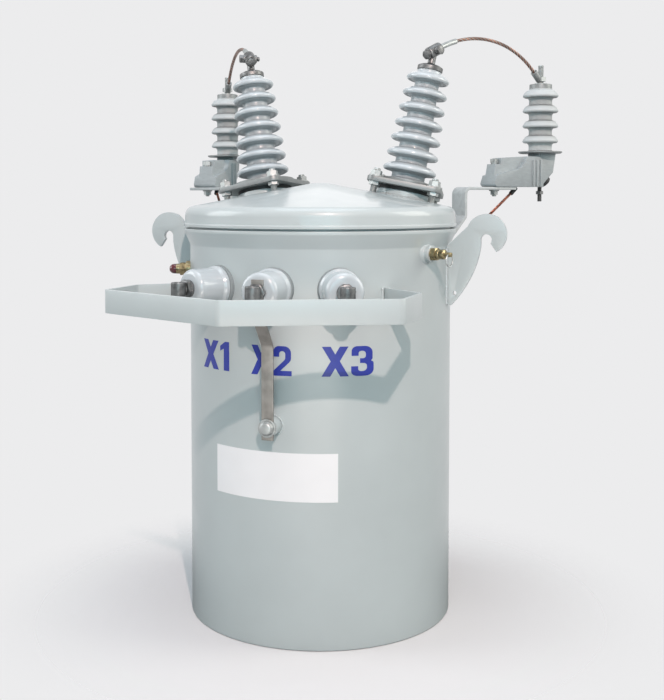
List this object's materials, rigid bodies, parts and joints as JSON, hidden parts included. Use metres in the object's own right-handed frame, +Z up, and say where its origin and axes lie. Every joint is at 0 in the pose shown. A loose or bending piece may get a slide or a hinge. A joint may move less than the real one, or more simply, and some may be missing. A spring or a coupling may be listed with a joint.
{
  "type": "pole mounted transformer",
  "caption": "Single phase oil filled distribution transformer with a round tank, cover bushings, low voltage bushings behind a guard bar, and side arresters.",
  "frame": {"origin": "on the tank's axis, at the level of its base", "axes": "+Z up along the tank's axis, -Y to the front where the guard bar is, +X to the right"},
  "size_m": [0.692, 0.767, 0.9365],
  "materials": {
    "tank_paint": "semi gloss light grey enamel",
    "cover_paint": "semi gloss light grey enamel",
    "gasket_rubber": "matt black",
    "porcelain": "glossy sky grey glaze",
    "galvanised_steel": "hot dip galvanised",
    "tinned_bronze": "tinned cast bronze",
    "tinned_strap": "tinned copper strip",
    "copper_lead": "stranded copper",
    "valve_brass": "turned brass",
    "lamp_lens": "dark red lens",
    "arrester_polymer": "pale grey silicone rubber",
    "bracket_polymer": "grey moulded polymer",
    "black_plastic": "black moulded plastic"
  },
  "bodies": {
    "root": {"tank_wall": "tank_paint", "tank_bottom": "tank_paint", "tank_cover": "cover_paint", "cover_gasket": "gasket_rubber", "hv_gaskets": "gasket_rubber", "hv_flange_left": "galvanised_steel", "hv_flange_right": "galvanised_steel", "hv_bushing_left": "porcelain", "hv_bushing_right": "porcelain", "hv_terminal_left": "tinned_bronze", "hv_terminal_right": "tinned_bronze", "hv_lead_left": "copper_lead", "hv_lead_right": "copper_lead", "lv_gaskets": "gasket_rubber", "lv_bushing_left": "porcelain", "lv_bushing_centre": "porcelain", "lv_bushing_right": "porcelain", "lv_terminal_left": "tinned_bronze", "lv_terminal_centre": "tinned_bronze", "lv_terminal_right": "tinned_bronze", "ground_strap": "tinned_strap", "ground_boss": "tank_paint", "bushing_guard": "tank_paint", "lifting_hook_left": "tank_paint", "lifting_hook_right": "tank_paint", "relief_boss": "tank_paint", "relief_valve": "valve_brass", "relief_ring": "galvanised_steel", "signal_lamp_body": "valve_brass", "signal_lamp_lens": "lamp_lens", "arrester_housing_left": "arrester_polymer", "arrester_housing_right": "arrester_polymer", "arrester_terminal_left": "galvanised_steel", "arrester_terminal_right": "galvanised_steel", "arrester_base_left": "galvanised_steel", "arrester_base_right": "galvanised_steel", "arrester_bracket_left": "bracket_polymer", "arrester_bracket_right": "bracket_polymer", "arrester_disconnector_left": "black_plastic", "arrester_disconnector_right": "black_plastic", "arrester_strap_left": "galvanised_steel", "arrester_strap_right": "galvanised_steel", "arrester_ground_lead_left": "copper_lead", "arrester_ground_lead_right": "copper_lead", "upper_hanger": "tank_paint", "lower_hanger": "tank_paint"}
  },
  "joints": []
}
